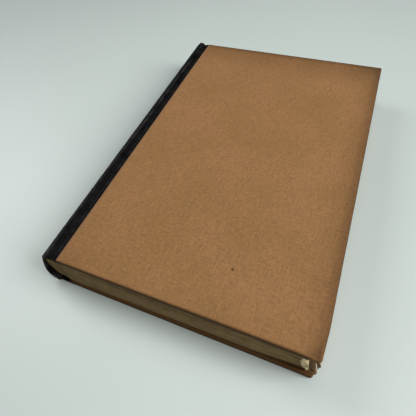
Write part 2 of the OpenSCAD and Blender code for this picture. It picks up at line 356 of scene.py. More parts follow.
def black_book_cloth():
    """Black cotton book cloth, filled and calendered, so that it is smooth with a low gloss. Where it is
    rubbed, at the shoulders and the ends of the spine, the fill is gone and grey thread shows. Its shine
    is kept almost nil, and along the shoulder's line and beside the board's edge the grey is partly a
    painted highlight in place of it."""
    material, tree, surface = start_material("black_book_cloth", Specular_IOR_Level=0.02)
    cut = add(tree, "ShaderNodeAttribute", {"attribute_name": "cut"}).outputs["Vector"]
    wear = add(tree, "ShaderNodeAttribute", {"attribute_name": "wear"}).outputs["Fac"]
    grain = add(tree, "ShaderNodeTexNoise", inputs={
        "Vector": cut, "Scale": 1 / (0.9 * MM), "Detail": 3.0, "Roughness": 0.6}).outputs["Fac"]
    patch = add(tree, "ShaderNodeTexNoise", inputs={
        "Vector": cut, "Scale": 1 / (7 * MM), "Detail": 3.0, "Roughness": 0.6}).outputs["Fac"]
    base = add(tree, "ShaderNodeMix", {"data_type": "RGBA"}, {
        "Factor": patch, 6: linear("#040405"), 7: linear("#0D0D11")})
    speck = add(tree, "ShaderNodeMath", {"operation": "ADD"}, {0: grain, 1: patch})
    ready = add(tree, "ShaderNodeMapRange", inputs={
        "Value": speck.outputs[0], "From Min": 0.85, "From Max": 1.2, "To Min": 0.0, "To Max": 1.0})
    worn = add(tree, "ShaderNodeMath", {"operation": "MULTIPLY", "use_clamp": True},
               {0: ready.outputs[0], 1: wear})
    # Grey where rubbed; on the shoulder and at the board's edge this grey is also a painted highlight
    rubbed = add(tree, "ShaderNodeMix", {"data_type": "RGBA"}, {
        "Factor": worn.outputs[0], 6: base.outputs[2], 7: linear("#726C68")})
    tree.links.new(rubbed.outputs[2], surface.inputs["Base Color"])
    gloss = add(tree, "ShaderNodeMapRange", inputs={
        "Value": grain, "From Min": 0.3, "From Max": 0.7, "To Min": 0.42, "To Max": 0.60})
    tree.links.new(gloss.outputs[0], surface.inputs["Roughness"])
    bump = add(tree, "ShaderNodeBump", inputs={"Height": grain, "Strength": 0.3, "Distance": 0.06 * MM})
    tree.links.new(bump.outputs[0], surface.inputs["Normal"])
    return material


def leaf_edges():
    """Wove paper, trimmed and aged. Each leaf's edge has a tone of its own, dust has browned them all, the
    upper half is drawn darker as painted shade under the front board, and where the corner is torn the
    paper is still cream.
    Real leaves are about 0.1 mm thick, too fine to show, so the streaks are drawn 0.28 mm high."""
    material, tree, surface = start_material("leaf_edges", Roughness=0.92, Specular_IOR_Level=0.2)
    place = add(tree, "ShaderNodeTexCoord").outputs["Object"]
    torn = add(tree, "ShaderNodeAttribute", {"attribute_name": "torn"}).outputs["Fac"]
    single = add(tree, "ShaderNodeMapping", inputs={
        "Vector": place, "Scale": (1 / (22 * MM), 1 / (22 * MM), 1 / (0.28 * MM))})
    streak = add(tree, "ShaderNodeTexNoise", inputs={
        "Vector": single.outputs[0], "Scale": 1.0, "Detail": 3.0, "Roughness": 0.65}).outputs["Fac"]
    dust = add(tree, "ShaderNodeTexNoise", inputs={
        "Vector": place, "Scale": 1 / (6 * MM), "Detail": 4.0, "Roughness": 0.6}).outputs["Fac"]
    tone = add(tree, "ShaderNodeMath", {"operation": "MULTIPLY_ADD"}, {0: dust, 1: 0.4, 2: streak})
    aged = add(tree, "ShaderNodeValToRGB", inputs={"Fac": tone.outputs[0]})
    for stop, position, brown in zip(aged.color_ramp.elements, (0.48, 0.92), ("#6C573B", "#B29568")):
        stop.position = position
        stop.color = linear(brown)

    gathered = add(tree, "ShaderNodeMapping", inputs={
        "Vector": place, "Scale": (1 / (70 * MM), 1 / (70 * MM), 1 / (2.2 * MM))})
    band = add(tree, "ShaderNodeTexNoise", inputs={
        "Vector": gathered.outputs[0], "Scale": 1.0, "Detail": 1.0, "Roughness": 0.6}).outputs["Fac"]
    deep = add(tree, "ShaderNodeMapRange", inputs={
        "Value": band, "From Min": 0.3, "From Max": 0.7, "To Min": 0.72, "To Max": 1.22})
    height = add(tree, "ShaderNodeSeparateXYZ", inputs={"Vector": place}).outputs["Z"]
    # Painted shade: the upper leaves are drawn darker, under the front board's overhang
    upper = add(tree, "ShaderNodeMapRange", inputs={
        "Value": height, "From Min": 10 * MM, "From Max": 16 * MM, "To Min": 1.04, "To Max": 0.9})
    toned = add(tree, "ShaderNodeMath", {"operation": "MULTIPLY"}, {
        0: deep.outputs[0], 1: upper.outputs[0]})
    banded = add(tree, "ShaderNodeVectorMath", {"operation": "SCALE"}, {
        0: aged.outputs["Color"], "Scale": toned.outputs[0]})

    ragged = add(tree, "ShaderNodeMapRange", inputs={
        "Value": tone.outputs[0], "From Min": 0.5, "From Max": 0.75, "To Min": 0.0, "To Max": 1.0})
    cream = add(tree, "ShaderNodeMix", {"data_type": "RGBA"}, {
        "Factor": ragged.outputs[0], 6: linear("#D4BA88"), 7: linear("#F4E0B2")})
    paper = add(tree, "ShaderNodeMix", {"data_type": "RGBA"}, {
        "Factor": torn, 6: banded.outputs[0], 7: cream.outputs[2]})
    tree.links.new(paper.outputs[2], surface.inputs["Base Color"])
    bump = add(tree, "ShaderNodeBump", inputs={"Height": streak, "Strength": 0.4, "Distance": 0.08 * MM})
    tree.links.new(bump.outputs[0], surface.inputs["Normal"])
    return material


def endpaper():
    """Uncoated cream paper with browned rims and a few rust-coloured spots of foxing. Its edges carry the
    same dust as those of the leaves."""
    material, tree, surface = start_material("endpaper", Roughness=0.9, Specular_IOR_Level=0.2)
    place = add(tree, "ShaderNodeTexCoord").outputs["Object"]
    rim, dusty = [add(tree, "ShaderNodeAttribute", {"attribute_name": note}).outputs["Fac"]
                  for note in ("rim", "dusty")]
    cloud = add(tree, "ShaderNodeTexNoise", inputs={
        "Vector": place, "Scale": 1 / (28 * MM), "Detail": 4.0, "Roughness": 0.6}).outputs["Fac"]
    fibre = add(tree, "ShaderNodeTexNoise", inputs={
        "Vector": place, "Scale": 1 / (0.7 * MM), "Detail": 3.0, "Roughness": 0.7}).outputs["Fac"]
    base = add(tree, "ShaderNodeMix", {"data_type": "RGBA"}, {
        "Factor": cloud, 6: linear("#D3C4A0"), 7: linear("#DDD1B3")})
    browned = add(tree, "ShaderNodeMath", {"operation": "MULTIPLY"}, {0: rim, 1: cloud})
    fox = add(tree, "ShaderNodeTexVoronoi", inputs={
        "Vector": place, "Scale": 1 / (17 * MM)}).outputs["Distance"]
    spot = add(tree, "ShaderNodeMapRange", {"interpolation_type": "SMOOTHSTEP"}, {
        "Value": fox, "From Min": 0.03, "From Max": 0.12, "To Min": 0.5, "To Max": 0.0})
    # What lies over the paper's colour, from the bottom up
    shown = base.outputs[2]
    for share, tint in ((browned.outputs[0], "#A98A5C"), (spot.outputs[0], "#A9793F"), (dusty, "#66543A")):
        layer = add(tree, "ShaderNodeMix", {"data_type": "RGBA"}, {
            "Factor": share, 6: shown, 7: linear(tint)})
        shown = layer.outputs[2]
    tree.links.new(shown, surface.inputs["Base Color"])
    bump = add(tree, "ShaderNodeBump", inputs={"Height": fibre, "Strength": 0.15, "Distance": 0.05 * MM})
    tree.links.new(bump.outputs[0], surface.inputs["Normal"])
    return material


def plain_stock(name, dark, light, grain, stretch=(1, 1, 1)):
    """A pulp or thread stock of two tones, whose grain is so many metres across and may be stretched."""
    material, tree, surface = start_material(name, Roughness=0.93, Specular_IOR_Level=0.2)
    place = add(tree, "ShaderNodeTexCoord").outputs["Object"]
    drawn = add(tree, "ShaderNodeMapping", inputs={"Vector": place, "Scale": stretch})
    fibre = add(tree, "ShaderNodeTexNoise", inputs={
        "Vector": drawn.outputs[0], "Scale": 1 / grain, "Detail": 4.0, "Roughness": 0.7}).outputs["Fac"]
    tone = add(tree, "ShaderNodeMix", {"data_type": "RGBA"}, {
        "Factor": fibre, 6: linear(dark), 7: linear(light)})
    tree.links.new(tone.outputs[2], surface.inputs["Base Color"])
    bump = add(tree, "ShaderNodeBump", inputs={"Height": fibre, "Strength": 0.3, "Distance": 0.1 * MM})
    tree.links.new(bump.outputs[0], surface.inputs["Normal"])
    return material


def open_mull():
    """Starched open cotton, woven with gaps: pale threads 1 mm apart over the brown of the glue."""
    material, tree, surface = start_material("open_mull", Roughness=0.9, Specular_IOR_Level=0.2)
    thread = 1 * MM
    place = add(tree, "ShaderNodeTexCoord").outputs["Object"]
    lines = []
    for axis in ("X", "Y"):
        wave = add(tree, "ShaderNodeTexWave", {"bands_direction": axis}, {
            "Vector": place, "Scale": math.pi / (10 * thread), "Distortion": 0.6, "Detail": 1.0})
        lines.append(wave.outputs["Fac"])
    mesh = add(tree, "ShaderNodeMath", {"operation": "MAXIMUM"}, {0: lines[0], 1: lines[1]})
    tone = add(tree, "ShaderNodeMix", {"data_type": "RGBA"}, {
        "Factor": mesh.outputs[0], 6: linear("#8D7448"), 7: linear("#D8D0B8")})
    tree.links.new(tone.outputs[2], surface.inputs["Base Color"])
    bump = add(tree, "ShaderNodeBump", inputs={
        "Height": mesh.outputs[0], "Strength": 0.5, "Distance": 0.15 * MM})
    tree.links.new(bump.outputs[0], surface.inputs["Normal"])
    return material


TAN = tan_book_cloth()
BLACK = black_book_cloth()
LEAF_EDGES = leaf_edges()
ENDPAPER = endpaper()
MULL = open_mull()
# Wood-pulp board, pressed: grey-brown with short fibres
GREY_BOARD = plain_stock("pulp_board", "#7A6C55", "#A4967C", 0.8 * MM)
# Brown kraft paper, glued over the back: streaked along the book
KRAFT = plain_stock("kraft_lining", "#8A6F4C", "#B08F66", 1.5 * MM, (1, 0.2, 1))


# Sections. Each is a list of (x, depth) for the back cover's side of the book

def depth_of_crown(front):
    """How deep the spine's crown lies below the face of the front cover, or of the back one."""
    return BOOK_TOP - CROWN_Z if front else CROWN_Z


def round_radius(crown_depth):
    """The radius of the spine's round, which runs from its crown to its shoulder."""
    rise = crown_depth - SHOULDER_DEPTH
    reach = SHOULDER_X - CROWN_X
    return (rise * rise + reach * reach) / (2 * reach)


def round_arc(crown_depth, inset, count):
    """The spine's round from its crown to its shoulder, with a layer's inset from the cloth's face."""
    r = round_radius(crown_depth)
    last = math.asin((crown_depth - SHOULDER_DEPTH) / r)
    return [(CROWN_X + r - (r - inset) * math.cos(last * i / count),
             crown_depth - (r - inset) * math.sin(last * i / count)) for i in range(count + 1)]


def quarter(count):
    """Sine and cosine over a quarter turn, without its two ends."""
    turns = [math.pi / 2 * i / count for i in range(1, count)]
    return [(math.sin(turn), math.cos(turn)) for turn in turns]


def spine_section(crown_depth):
    """The black cloth from the crown to its lap under the tan cloth: its face, and the far side of what
    it is wrapped over, point for point."""
    face = round_arc(crown_depth, 0, ROUND_STEPS)
    inner = []
    for (x, depth), deep in zip(face, round_arc(crown_depth, CARD_IN, ROUND_STEPS)):
        share = 1 - 0.5 * smooth((x - SHOULDER_X + 1.6 * MM) / (1.6 * MM))
        inner.append((x + (deep[0] - x) * share, depth + (deep[1] - depth) * share))
    fold = 0.5 * CARD_IN
    for t in steps(0, 1, 1 / TURN_STEPS)[1:]:
        depth = SHOULDER_DEPTH + (JOINT_DEPTH - SHOULDER_DEPTH) * smooth(t)
        face.append((SHOULDER_X + RIDGE_W * t, depth))
        inner.append((SHOULDER_X + RIDGE_W * t, depth + fold + 0.2 * MM * (1 - t)))
    board_r = EDGE_X + EDGE_R
    lift = math.sqrt(EDGE_R ** 2 - (CLOTH_T + EDGE_R - JOINT_DEPTH) ** 2)
    for x in steps(SHOULDER_X + RIDGE_W, board_r - lift, 0.25 * MM)[1:]:
        face.append((x, JOINT_DEPTH))
        inner.append((x, JOINT_DEPTH + fold))
    for t in steps(0, 1, 1 / TURN_STEPS)[1:]:
        x = board_r - lift * (1 - t)
        face.append((x, CLOTH_T + EDGE_R - math.sqrt(EDGE_R ** 2 - (board_r - x) ** 2)))
        turn = math.pi / 2 * t
        inner.append((board_r - EDGE_R * math.cos(turn), COVER_T - EDGE_R * (1 - math.sin(turn))))
    for x in steps(board_r, LAP_X, 0.5 * MM)[1:]:
        crease = 0.12 * MM * smooth(1 - abs(x - SIDE_X) / (0.5 * MM))
        face.append((x, CLOTH_T + crease))
        inner.append((x, COVER_T))
    return face, inner


def turn_profile(depth):
    """Cloth that turns over an end, as (distance in from the end, share of the depth), inner side first."""
    r = min(EDGE_R, depth / 2)
    line = [(TURN_IN, depth), (TURN_IN / 2, depth), (r, depth)]
    line += [(r - r * s, depth - r + r * c) for s, c in quarter(5)]
    line += [(0, depth - r), (0, r)]
    line += [(r - r * c, r - r * s) for s, c in quarter(5)]
    line += [(r, 0)]
    return [(along, down / depth) for along, down in line]


# The cloth of the spine and joints

def tail_end(z, rise):
    """Where the spine's tail end lies at a height. Standing on it has pushed its upper part in."""
    height = z / BOOK_TOP
    pushed = 2.3 * smooth((height - 0.12) / 0.53) * (1 - 0.7 * smooth((height - 0.74) / 0.26)) - 0.3
    return -HEAD_Y - rise * (CAP_OVER - pushed * MM)


def head_end(x):
    """Where the head end lies across the spine. What pushed the tail in has pushed this end out."""
    cap_rise = CAP_HIGH * smooth((SHOULDER_X + 2.6 * MM - x) / (0.9 * MM))
    return HEAD_Y + cap_rise + 2.2 * MM * smooth((SHOULDER_X - x) / (2.5 * MM))


def card_strip():
    """The card that stiffens the spine cloth, wrapped by it at both ends."""
    card_low, card_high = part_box("spine_card")
    back = round_arc(depth_of_crown(False), CLOTH_T, CARD_STEPS)
    front = [(x, BOOK_TOP - depth) for x, depth in round_arc(depth_of_crown(True), CLOTH_T, CARD_STEPS)]
    section = [p for p in list(reversed(front)) + back[1:] if card_low.z <= p[1] <= card_high.z]
    strip = Surface()
    rows = []
    for x, z in section:
        tail = tail_end(z, 1) + CLOTH_T
        head = head_end(x) - CLOTH_T - 0.2 * MM
        rows.append([strip.point((x, y, z)) for y in steps(tail, head, 6 * MM)])
    strip.grid(rows)
    return strip.piece("spine_card_strip", GREY_BOARD, CARD_T)


def ridge_rub_and_highlight(x, y):
    """How far the black cloth is greyed on its shoulder, along a line that runs a little askew, and over
    the board's edge: partly rubbing and partly a painted highlight."""
    rub_and_highlight_x = SHOULDER_X + (1.0 - 2.4 * smooth((HEAD_Y - y) / (2 * HEAD_Y))) * MM
    # Rubbing together with a painted highlight along the shoulder
    shoulder = 0.22 * math.exp(-((x - rub_and_highlight_x) / (0.6 * MM)) ** 2)
    # Rubbing together with a painted highlight at the board's edge
    board = 0.2 * math.exp(-((x - EDGE_X + 0.35 * MM) / (0.3 * MM)) ** 2)
    return max(shoulder, board)


def black_cloth(name, front):
    """Half of the black cloth, from the crown of the spine over one joint and on to that cover."""
    crown_depth = depth_of_crown(front)
    face, inner = spine_section(crown_depth)
    seed = 3.1 if front else 9.4
    cloth = Surface()
    columns = []
    run = 0
    for i, (out, deep) in enumerate(zip(face, inner)):
        if i:
            run += math.dist(out, face[i - 1])
        rise = smooth((SHOULDER_X - out[0] + 0.4 * MM) / (1.6 * MM))
        top_side = 1 - out[1] / crown_depth if front else 0
        tail = tail_end(BOOK_TOP - out[1] if front else out[1], rise)
        head = head_end(out[0]) - 0.2 * MM * rise * abs(uneven(run, 0, 3 * MM, seed + 5))
        turned = turn_profile(math.dist(out, deep))
        first = tail + turned[-1][0]
        length = head - tail - 2 * turned[-1][0]
        line = [(tail + along, share) for along, share in turned]
        line += [(first + length * k / CLOTH_STEPS, 0) for k in range(1, CLOTH_STEPS)]
        line += [(head - along, share) for along, share in reversed(turned)]
        column = []
        for y, share in line:
            x = out[0] + (deep[0] - out[0]) * share
            depth = out[1] + (deep[1] - out[1]) * share
            if share == 0 and out[0] < SIDE_X:
                depth += RIPPLE * (1 + uneven(run, y, 9 * MM, seed))
            patch = rise * smooth((top_side - 0.5) / 0.3) * math.exp(-((y - tail) / (4.5 * MM)) ** 2)
            cap = 0.3 * rise * math.exp(-min(abs(y - tail), abs(y - head)) / (1.2 * MM))
            # wear carries the rubbing, and on the shoulder and at the board's edge a painted highlight too
            wear = min(1, max(ridge_rub_and_highlight(out[0], y), patch, cap) + 0.04)
            column.append(cloth.point((x, y, depth), wear=wear, cut=(run, y + seed, 0)))
        columns.append(column)
    cloth.grid(columns)
    return cloth.piece(name, BLACK, CLOTH_DRAWN, front)


# The cloth of the sides

def from_torn_corner(x, y):
    """How far a place is from the cover's corner at the tail and the fore-edge."""
    return math.hypot(FORE_X - x, y + HEAD_Y)


def bruised(x, y, front):
    """Where a point of a cover lies since a knock rounded the front one's corner at the tail."""
    near = smooth(1 - from_torn_corner(x, y) / BRUISE_R) if front else 0
    return x - 0.55 * MM * near, y - 0.1 * MM * near


def side_outline(xs, ys):
    """Round the three covered edges: where the flat ends, and the way out from there."""
    outline = [((x, ys[0]), (0, -1)) for x in xs]
    outline += [((xs[-1], ys[0]), (s, -c)) for s, c in quarter(6)]
    outline += [((xs[-1], y), (1, 0)) for y in ys]
    outline += [((xs[-1], ys[-1]), (c, s)) for s, c in quarter(6)]
    outline += [((x, ys[-1]), (0, 1)) for x in reversed(xs)]
    return outline


def side_profile():
    """Over a board's edge and in underneath, as (distance out from the flat, depth)."""
    flat = CORNER_R - EDGE_R
    line = [(0, 0), (flat, 0)]
    line += [(flat + EDGE_R * s, EDGE_R - EDGE_R * c) for s, c in quarter(6)]
    line += [(CORNER_R, EDGE_R), (CORNER_R, COVER_T / 2), (CORNER_R, COVER_T - EDGE_R)]
    line += [(flat + EDGE_R * c, COVER_T - EDGE_R + EDGE_R * s) for s, c in quarter(6)]
    line += [(flat, COVER_T), (0, COVER_T)]
    line += [(out, COVER_T) for out in steps(0, CORNER_R - TURN_IN, 2.5 * MM)[1:]]
    return line


def bruised_board():
    """The front board, which is knocked round at the same corner as its cloth."""
    board = Surface()
    r = EDGE_R - CLOTH_T
    fine_x = BOARD_HIGH.x - 18 * MM
    fine_y = BOARD_LOW.y + 18 * MM
    xs = steps(BOARD_LOW.x + r, LAP_X, 2 * MM) + steps(LAP_X + 0.3 * MM, fine_x, 8 * MM)
    xs += steps(fine_x, BOARD_HIGH.x - r, MM)[1:]
    ys = steps(BOARD_LOW.y + r, fine_y, MM) + steps(fine_y, BOARD_HIGH.y - r, 8 * MM)[1:]

    def lay(x, y, depth):
        """The black cloth's lap lies in a step of the board's face."""
        step = CLOTH_T + 0.15 * MM if x < LAP_X + 0.1 * MM else 0
        return board.point((*bruised(x, y, True), max(depth, BOARD_LOW.z + step)))

    board.grid([[lay(x, y, BOARD_LOW.z) for x in reversed(xs)] for y in ys])
    board.grid([[lay(x, y, BOARD_HIGH.z) for x in xs] for y in ys])
    outline = side_outline(xs, ys)
    outline += [((xs[0], ys[-1]), (-s, c)) for s, c in quarter(6)]
    outline += [((xs[0], y), (-1, 0)) for y in reversed(ys)]
    outline += [((xs[0], ys[0]), (-c, -s)) for s, c in quarter(6)]
    profile = [(0, BOARD_LOW.z)] + [(r * s, BOARD_LOW.z + r - r * c) for s, c in quarter(3)]
    profile += [(r, BOARD_LOW.z + r), (r, BOARD_HIGH.z - r)]
    profile += [(r * c, BOARD_HIGH.z - r + r * s) for s, c in quarter(3)] + [(0, BOARD_HIGH.z)]
    rings = []
    for out, depth in profile:
        ring = [lay(x + out * nx, y + out * ny, depth) for (x, y), (nx, ny) in outline]
        rings.append(ring + ring[:1])
    board.grid(rings)
    return board.piece("front_board_pulp", GREY_BOARD, front=True)


def side_notes(x, y, seed, front, wear=0.0):
    """What the tan cloth's material needs to know of a place on it."""
    rim = max(0.8 * smooth(1 - (FORE_X - x) / (16 * MM)),
              smooth(1 - (HEAD_Y - y) / (34 * MM)),
              0.2 * smooth(1 - (HEAD_Y + y) / (13 * MM)))
    rim += 0.5 * smooth(1 - math.hypot(x - SIDE_X, y + HEAD_Y) / (40 * MM))
    wear = max(wear, 0.6 * smooth(1 - from_torn_corner(x, y) / (9 * MM)) if front else 0.0)
    fray = smooth(1 - (x - SIDE_X) / (0.5 * MM))
    # Drawn darker near the head and fore edges, and more towards their corner
    edge = max(0.36 * smooth(1 - (HEAD_Y - CORNER_R - y) / (4.4 * MM)),
               0.26 * smooth(1 - (FORE_X - CORNER_R - x) / (4.5 * MM)))
    corner = 0.34 * smooth(1 - math.hypot(FORE_X - x, HEAD_Y - y) / (34 * MM))
    grime = 1 - (1 - edge) * (1 - corner)
    return {"rim": min(1.0, rim), "wear": wear, "fray": fray, "soil": 0.0, "grime": grime,
            "cut": (x + seed, y, 0)}


def askew(x, y, front):
    """The front cloth's long edge was laid a little to the right, most of all at the head."""
    return (0.25 + 0.3 * smooth((y - 70 * MM) / (38 * MM))) * MM if front and x == SIDE_X else 0


def side_cloth(name, front):
    """The tan cloth over one board, turned in at the tail, the fore-edge and the head."""
    seed = 0.0 if front else 0.5
    cloth = Surface()
    xs = steps(SIDE_X, FORE_X - CORNER_R, 2.2 * MM)
    ys = steps(-HEAD_Y + CORNER_R, HEAD_Y - CORNER_R, 2.2 * MM)
    reach_x, reach_y = xs[-1] - xs[0], ys[-1]

    def flat(x, y):
        """A point of the cloth's face, which lies a little uneven on the board."""
        edge = CUT_WAVER * uneven(0, y, 4 * MM, seed + 2) + askew(x, y, front) if x == SIDE_X else 0
        depth = RIPPLE * (1 + uneven(x, y, 26 * MM, seed))
        notes = side_notes(x, y, seed, front)
        notes["soil"] = 0.7 * smooth(1 - from_torn_corner(x, y) / (9 * MM)) if front else 0
        return cloth.point((*bruised(x + edge, y, front), depth), **notes)

    rows = [[flat(x, y) for x in xs] for y in ys]
    cloth.grid([list(reversed(row)) for row in rows])
    outline = side_outline(xs, ys)
    profile = side_profile()
    rings = [[flat(x, y) for (x, y), _ in outline]]
    path = 0
    for before, (out, depth) in zip(profile, profile[1:]):
        path += math.dist((out, depth), before)
        ring = []
        for (bx, by), (nx, ny) in outline:
            at_head = ny > 0.5
            at_tail = ny < -0.5
            if out >= 0:
                x, y = bx + out * nx, by + out * ny
            else:
                x = xs[0] + (bx - xs[0]) * (reach_x + out) / reach_x
                y = by * (reach_y + out) / reach_y
            corner = nx * ny != 0 or (bx == xs[-1] and abs(by) > reach_y - 5 * MM)
            at_edge = smooth(1 - abs(depth - EDGE_R) / (1.2 * MM)) if depth < COVER_T else 0.15
            if at_head and 0 < depth < EDGE_R:
                at_edge = 1.2
            wear = min(1.0, at_edge * (0.75 + 0.4 * uneven(bx, by, 7 * MM, seed + 4)) + 0.2 * corner)
            knock = 0.12 * MM * max(0, uneven(bx, by, 5 * MM, seed + 8)) * smooth(out / CORNER_R)
            lift = RIPPLE * (1 + uneven(bx, by, 26 * MM, seed)) * max(0, 1 - depth / EDGE_R)
            notes = side_notes(bx + path * nx, by + path * ny, seed, front, wear)
            notes["rim"] = 1.0
            arris = 0.1 if at_head else 0.45
            # The edge faces and turn-ins are drawn darker: soil, together with painted shade on faces that
            # turn away from the light
            notes["soil"] = smooth(depth / (arris * EDGE_R)) * (1 - 0.5 * smooth(-out / (3 * MM)))
            notes["fray"] *= 1 - notes["soil"]
            # The head's rounded edge is drawn dark
            if at_head and depth:
                notes["grime"] = 0.8
            else:
                notes["grime"] *= 1 - smooth(depth / EDGE_R)
            # Along the back cover's tail, the inner arris is drawn a little lighter
            if at_tail and depth > COVER_T / 2 and not front:
                notes["soil"] *= 1 - 0.35 * smooth(1 - abs(out - 0.7 * MM) / (0.7 * MM))
            # Close to the torn corner the edge is drawn lighter
            torn_away = smooth(2 - 2 * from_torn_corner(bx, by) / (6.5 * MM)) if front else 0
            notes["soil"] *= 1 - torn_away
            notes["wear"] *= 1 - 0.7 * torn_away
            x, y = bruised(x - knock * nx + askew(bx, by, front), y - knock * ny, front)
            ring.append(cloth.point((x, y, depth + lift), **notes))
        rings.append(ring)
    cloth.grid(rings)
    return cloth.piece(name, TAN, CLOTH_DRAWN, front)


# The leaves

def spine_side(z):
    """Where the back of the leaves lies at a height."""
    r = round_radius(depth_of_crown(z > CROWN_Z))
    return CROWN_X + r - math.sqrt((r - LEAVES_IN) ** 2 - (z - CROWN_Z) ** 2)


def leaf_tail(x):
    """Where the leaves end at the tail. They have slid a little towards it, most of all near the spine, but
    not at the two corners."""
    slid = smooth((LEAF_FORE - 4 * MM - x) / (22 * MM)) * smooth((x - SHOULDER_X) / (8 * MM))
    return LEAF_TAIL - (0.95 * MM - 0.004 * x) * slid


def hammered(x):
    """How far the outer leaves are hammered over at a place beside the joint, as a share of their rise."""
    return min(1, max(0, (FOOT_X - x) / (FOOT_X - PEAK_X)))


def leaf_block():
    """All the leaves as one block. Each packet of a few leaves has its own edge, a little in or out, the
    outer ones are hammered over at the shoulders, and one corner is torn and splayed."""
    rng = random.Random(7)
    thick = (BOOK_TOP - 2 * LEAVES_Z) / PACKETS
    half = BOOK_TOP / 2 - LEAVES_Z
    hollow_r = (half ** 2 + FORE_HOLLOW ** 2) / (2 * FORE_HOLLOW)
    block = Surface()
    rings = []
    clump, clump_end = 0, 0
    for i in range(PACKETS):
        gathering = i * GATHERINGS // PACKETS
        out = 0.10 * MM * uneven(gathering, 0, 1.7, 4.2) + rng.gauss(0, 0.035) * MM - 0.16 * MM
        first = i > 0 and gathering != (i - 1) * GATHERINGS // PACKETS
        if i >= clump_end:
            clump, clump_end = rng.uniform(-0.4, 0.4) * MM, i + rng.randint(5, 12)
        fray = clump + rng.gauss(0, 0.07) * MM
        for side in (0, 1):
            share = (i + 0.94) / PACKETS if side else (i + 0.06) / PACKETS
            if (i, side) in ((0, 0), (PACKETS - 1, 1)):
                share = side
            z = LEAVES_Z + 2 * half * share
            from_mid = 2 * share - 1
            fore = LEAF_FORE - FORE_HOLLOW + hollow_r - math.sqrt(hollow_r ** 2 - (half * from_mid) ** 2)
            back = spine_side(z)
            line = 0.22 * MM if first and side == 0 else 0
            torn = smooth((CHIP_TOP - z) / thick / 1.5)
            down = min(1, max(0, (CHIP_TOP - z) / (CHIP_TOP - LEAVES_Z)))
            leg = CHIP_LEG * (1 - smooth((down - 0.5) / 0.6)) - fray
            start = LEAF_FORE - leg * torn - (LEAF_FORE - fore) * (1 - torn)
            finish = LEAF_TAIL + (4.9 * MM - 4.8 * MM * down ** 0.8 + fray) * torn
            splay = (LEAF_FORE + 0.9 * MM * down - fore) * torn
            shoulder = steps(back, PEAK_X, abs(PEAK_X - back) / 4)[:-1]
            shoulder += steps(PEAK_X, FOOT_X, (FOOT_X - PEAK_X) / 6)
            points = []

            def lay(x, y, nx, ny, fresh=0.0):
                """Adds a point of the packet's rim, whose edge faces along nx and ny."""
                flare = SHOULDER_RISE * hammered(x) * abs(from_mid) ** 5
                wander = uneven(x * 0.6 + y, i * 0.35 * MM, 17 * MM, 1.3)
                sway = 0.07 * MM * wander * (1 - abs(from_mid) ** 4)
                push = out - line + 0.07 * MM * uneven(x, y, 14 * MM, i * 0.19)
                height = z + math.copysign(flare, from_mid) + sway
                points.append(block.point((x + nx * push, y + ny * push, height), torn=fresh))

            for x in shoulder:
                lay(x, leaf_tail(x), 0, -1)
            for t in steps(0, 1, 1 / TAIL_STEPS)[1:]:
                x = FOOT_X + (start - 0.3 * MM - FOOT_X) * t
                lay(x, leaf_tail(x), 0, -1)
            lay(start, LEAF_TAIL - 0.5 * MM * down * torn, 0, -1, torn)
            for t in steps(0, 1, 1 / CHIP_STEPS)[1:-1]:
                bulge = 0.3 * MM * uneven(t * 2.2, i * 0.13, 1, 8.8) * math.sin(math.pi * t) * torn
                x = start + (fore + splay - start) * t - bulge
                y = LEAF_TAIL + (finish - LEAF_TAIL) * t + bulge
                lay(x, y, 0, 0, torn)
            for k in range(FORE_STEPS + 1):
                y = finish + (LEAF_HEAD - finish) * k / FORE_STEPS
                open_out = splay * smooth(1 - (y - LEAF_TAIL) / (14 * MM))
                lay(fore + open_out, y, 1, 0, torn * smooth(1 - k / 2))
            for t in steps(1, 0, 1 / TAIL_STEPS)[:-1]:
                lay(FOOT_X + (fore - FOOT_X) * t, LEAF_HEAD, 0, 1)
            for x in reversed(shoulder):
                lay(x, LEAF_HEAD, 0, 1)
            rings.append(points)
    for low, high in zip(rings, rings[1:]):
        block.grid([low + low[:1], high + high[:1]])
    count = len(shoulder) + TAIL_STEPS
    for ring, top in ((rings[0], False), (rings[-1], True)):
        tail, head = ring[:count], list(reversed(ring[-count:]))
        block.grid([tail, head] if top else [head, tail])
        rest = ring[count - 1:1 - count]
        block.face(rest if top else list(reversed(rest)))
    return block.piece("leaves", LEAF_EDGES)


# The endpapers and the mull

def pastedown(name, front):
    """The half of an endpaper that is glued to the board. It shows the turned-in cloth beneath it."""
    paper = Surface()
    seed = 2.0 if front else 6.0
    xs = steps(PASTE_LOW.x, PASTE_HIGH.x, 1.6 * MM)
    ys = steps(PASTE_LOW.y, PASTE_HIGH.y, 1.6 * MM)
    rows = []
    for y in ys:
        row = []
        for x in xs:
            inside = min(x - WING_HIGH.x, FORE_X - TURN_IN - x, HEAD_Y - TURN_IN - abs(y))
            sunk = (CLOTH_T - 0.02 * MM) * smooth(inside / (1.4 * MM))
            wave = 0.03 * MM * (1 + uneven(x, y, 12 * MM, seed))
            rim = smooth(1 - min(x - xs[0] + 4 * MM, xs[-1] - x, ys[-1] - abs(y)) / (9 * MM))
            row.append(paper.point((x, y, PASTE_HIGH.z - sunk - wave), rim=rim, dusty=0.0))
        rows.append(row)
    paper.grid(rows)
    return paper.piece(name, ENDPAPER, PAPER_DRAWN, front)


